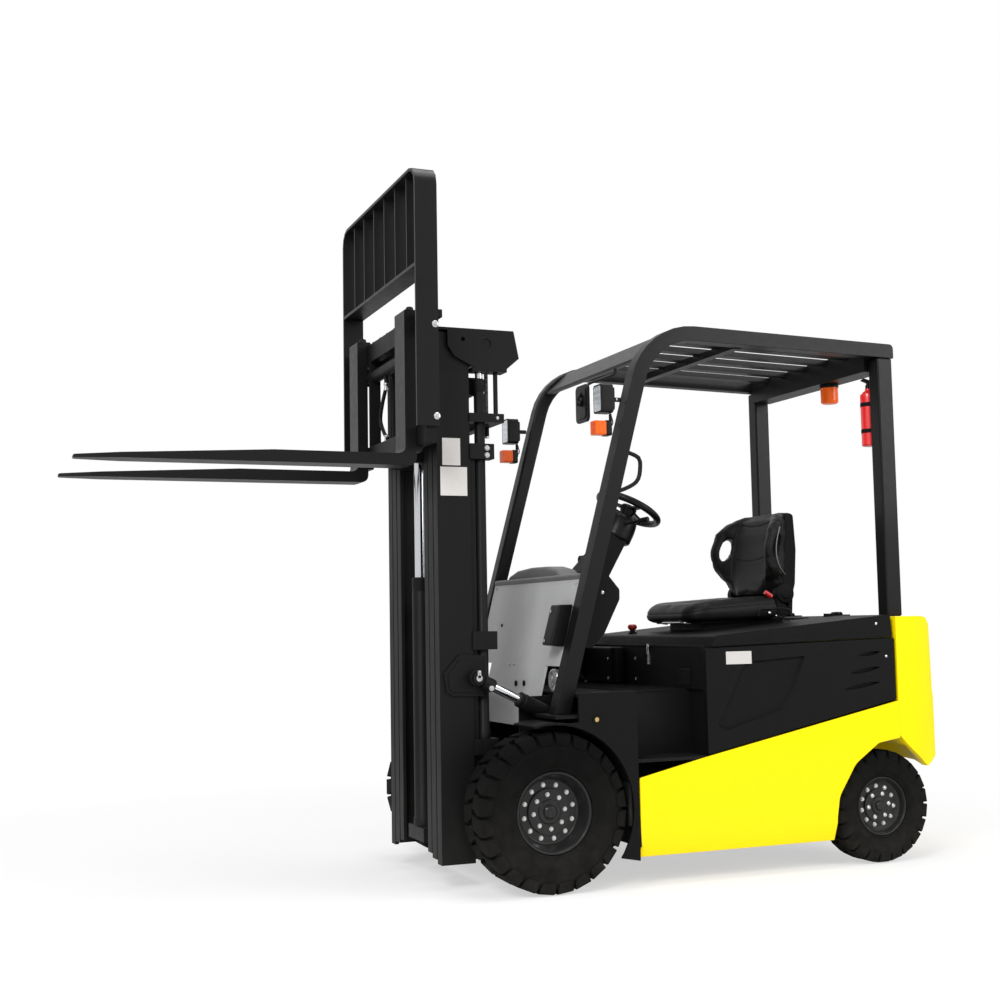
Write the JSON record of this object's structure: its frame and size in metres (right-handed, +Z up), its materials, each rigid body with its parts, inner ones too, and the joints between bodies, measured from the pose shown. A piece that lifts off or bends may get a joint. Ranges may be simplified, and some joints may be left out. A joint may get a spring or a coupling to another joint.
{
  "type": "electric counterbalance forklift",
  "caption": "Four-wheel electric counterbalance forklift with a three-stage mast, side-shifting forks, load backrest, overhead guard, driver's seat and opening battery hood.",
  "frame": {"origin": "middle of the truck's footprint, on the floor", "axes": "+X forward, towards the fork tips, +Y to the driver's left, +Z up"},
  "size_m": [3.51, 1.185, 2.731],
  "materials": {
    "black_paint": "semi-gloss black paint on steel",
    "mast_paint": "satin black paint on rolled steel",
    "yellow_paint": "glossy yellow paint on pressed steel",
    "yellow_iron": "glossy yellow paint on a casting",
    "cast_iron": "dark painted castings",
    "battery_steel": "grey painted battery tray",
    "grey_panel": "satin dark grey paint",
    "black_plastic": "grained black moulding",
    "floor_rubber": "ribbed rubber mat",
    "tyre_rubber": "solid resilient tyre",
    "rim_paint": "dark grey painted steel rim",
    "chrome": "ground chromed rod",
    "hose_rubber": "hydraulic hose",
    "seat_vinyl": "grained black vinyl",
    "amber_plastic": "clear amber dome",
    "red_paint": "glossy red cylinder",
    "mirror_glass": "mirror glass in a black back"
  },
  "bodies": {
    "chassis": {"chassis_frame": "black_paint", "floor_plate": "floor_rubber", "battery_pack": "battery_steel", "counterweight": "yellow_iron", "side_skirt_left": "yellow_paint", "side_skirt_right": "yellow_paint", "side_panel_left": "black_plastic", "side_panel_right": "black_plastic", "front_fender_left": "black_plastic", "front_fender_right": "black_plastic", "front_panel": "grey_panel", "dash_cowl": "black_plastic", "cab_cover": "black_plastic", "guard_side_left": "black_paint", "guard_side_right": "black_paint", "guard_rear_post_left": "black_paint", "guard_rear_post_right": "black_paint", "roof_grille": "black_paint", "head_lamp_left": "black_plastic", "head_lamp_right": "black_plastic", "mirror": "mirror_glass", "beacon": "amber_plastic", "fire_extinguisher": "red_paint", "front_axle": "cast_iron", "steer_axle": "cast_iron"},
    "front_wheel_left": {"front_tyre_left": "tyre_rubber", "front_rim_left": "rim_paint"},
    "front_wheel_right": {"front_tyre_right": "tyre_rubber", "front_rim_right": "rim_paint"},
    "knuckle_left": {"steer_knuckle_left": "cast_iron"},
    "knuckle_right": {"steer_knuckle_right": "cast_iron"},
    "rear_wheel_left": {"rear_tyre_left": "tyre_rubber", "rear_rim_left": "rim_paint"},
    "rear_wheel_right": {"rear_tyre_right": "tyre_rubber", "rear_rim_right": "rim_paint"},
    "steering": {"steering_wheel": "black_plastic"},
    "hood_and_seat": {"hood": "black_plastic", "seat_cushion": "seat_vinyl", "seat_back": "seat_vinyl"},
    "outer_stage": {"outer_mast": "mast_paint", "lift_barrel_left": "mast_paint", "lift_barrel_right": "mast_paint"},
    "middle_stage": {"middle_mast": "mast_paint", "lift_rod_left": "chrome", "lift_rod_right": "chrome"},
    "inner_stage": {"inner_mast": "mast_paint", "free_lift_barrel": "mast_paint"},
    "free_lift": {"free_lift_rod": "chrome"},
    "carriage_base": {"carriage": "mast_paint"},
    "side_shifter": {"side_shift_frame": "mast_paint", "side_shift_hose": "hose_rubber", "load_backrest": "black_paint", "fork_left": "black_paint", "fork_right": "black_paint"},
    "tilt_cylinder_left": {"tilt_barrel_left": "mast_paint"},
    "tilt_cylinder_right": {"tilt_barrel_right": "mast_paint"},
    "tilt_piston_left": {"tilt_rod_left": "chrome"},
    "tilt_piston_right": {"tilt_rod_right": "chrome"}
  },
  "joints": [
    {"name": "front_wheel_left_spin", "type": "hinge", "parent": "chassis", "child": "front_wheel_left", "pos_m": [0.055, 0.485, 0.2975], "axis": [0, 1, 0], "continuous": true},
    {"name": "front_wheel_right_spin", "type": "hinge", "parent": "chassis", "child": "front_wheel_right", "pos_m": [0.055, -0.485, 0.2975], "axis": [0, 1, 0], "continuous": true},
    {"name": "steer_left", "type": "hinge", "parent": "chassis", "child": "knuckle_left", "pos_m": [-1.42, 0.375, 0.2285], "axis": [0, 0, 1], "range_deg": [-70, 70]},
    {"name": "steer_right", "type": "hinge", "parent": "chassis", "child": "knuckle_right", "pos_m": [-1.42, -0.375, 0.2285], "axis": [0, 0, 1], "range_deg": [-70, 70]},
    {"name": "rear_wheel_left_spin", "type": "hinge", "parent": "knuckle_left", "child": "rear_wheel_left", "pos_m": [-1.42, 0.49, 0.2285], "axis": [0, 1, 0], "continuous": true},
    {"name": "rear_wheel_right_spin", "type": "hinge", "parent": "knuckle_right", "child": "rear_wheel_right", "pos_m": [-1.42, -0.49, 0.2285], "axis": [0, 1, 0], "continuous": true},
    {"name": "steering_wheel_turn", "type": "hinge", "parent": "chassis", "child": "steering", "pos_m": [-0.575, 0, 1.481], "axis": [-0.4695, 0, 0.8829], "continuous": true},
    {"name": "hood_open", "type": "hinge", "parent": "chassis", "child": "hood_and_seat", "pos_m": [-1.494, 0, 1.014], "axis": [0, -1, 0], "range_deg": [0, 60]},
    {"name": "mast_tilt", "type": "hinge", "parent": "chassis", "child": "outer_stage", "pos_m": [0.055, 0, 0.2975], "axis": [0, 1, 0], "range_deg": [-6, 6]},
    {"name": "mast_lift", "type": "slide", "parent": "outer_stage", "child": "middle_stage", "axis": [0, 0, 1], "range_m": [0, 1.35]},
    {"name": "inner_lift", "type": "slide", "parent": "middle_stage", "child": "inner_stage", "axis": [0, 0, 1], "range_m": [0, 1.35]},
    {"name": "free_lift_stroke", "type": "slide", "parent": "inner_stage", "child": "free_lift", "axis": [0, 0, 1], "range_m": [-0.79, 0]},
    {"name": "carriage_lift", "type": "slide", "parent": "free_lift", "child": "carriage_base", "axis": [0, 0, 1], "range_m": [-0.79, 0]},
    {"name": "side_shift", "type": "slide", "parent": "carriage_base", "child": "side_shifter", "axis": [0, 1, 0], "range_m": [-0.1, 0.1]},
    {"name": "tilt_barrel_left_swing", "type": "hinge", "parent": "chassis", "child": "tilt_cylinder_left", "pos_m": [-0.095, 0.347, 0.612], "axis": [0, 1, 0], "range_deg": [-7, 7]},
    {"name": "tilt_barrel_right_swing", "type": "hinge", "parent": "chassis", "child": "tilt_cylinder_right", "pos_m": [-0.095, -0.347, 0.612], "axis": [0, 1, 0], "range_deg": [-7, 7]},
    {"name": "tilt_rod_left_stroke", "type": "slide", "parent": "tilt_cylinder_left", "child": "tilt_piston_left", "axis": [0.8959, 0, 0.4443], "range_m": [-0.04, 0.04]},
    {"name": "tilt_rod_right_stroke", "type": "slide", "parent": "tilt_cylinder_right", "child": "tilt_piston_right", "axis": [0.8959, 0, 0.4443], "range_m": [-0.04, 0.04]}
  ],
  "couplings": [
    {"joint": "steer_right", "follows": "steer_left", "ratio": 1},
    {"joint": "inner_lift", "follows": "mast_lift", "ratio": 1},
    {"joint": "carriage_lift", "follows": "free_lift_stroke", "ratio": 1},
    {"joint": "tilt_barrel_left_swing", "follows": "mast_tilt", "ratio": 1.01},
    {"joint": "tilt_barrel_right_swing", "follows": "mast_tilt", "ratio": 1.01},
    {"joint": "tilt_rod_left_stroke", "follows": "mast_tilt", "m_per_rad": 0.348},
    {"joint": "tilt_rod_right_stroke", "follows": "mast_tilt", "m_per_rad": 0.348}
  ]
}
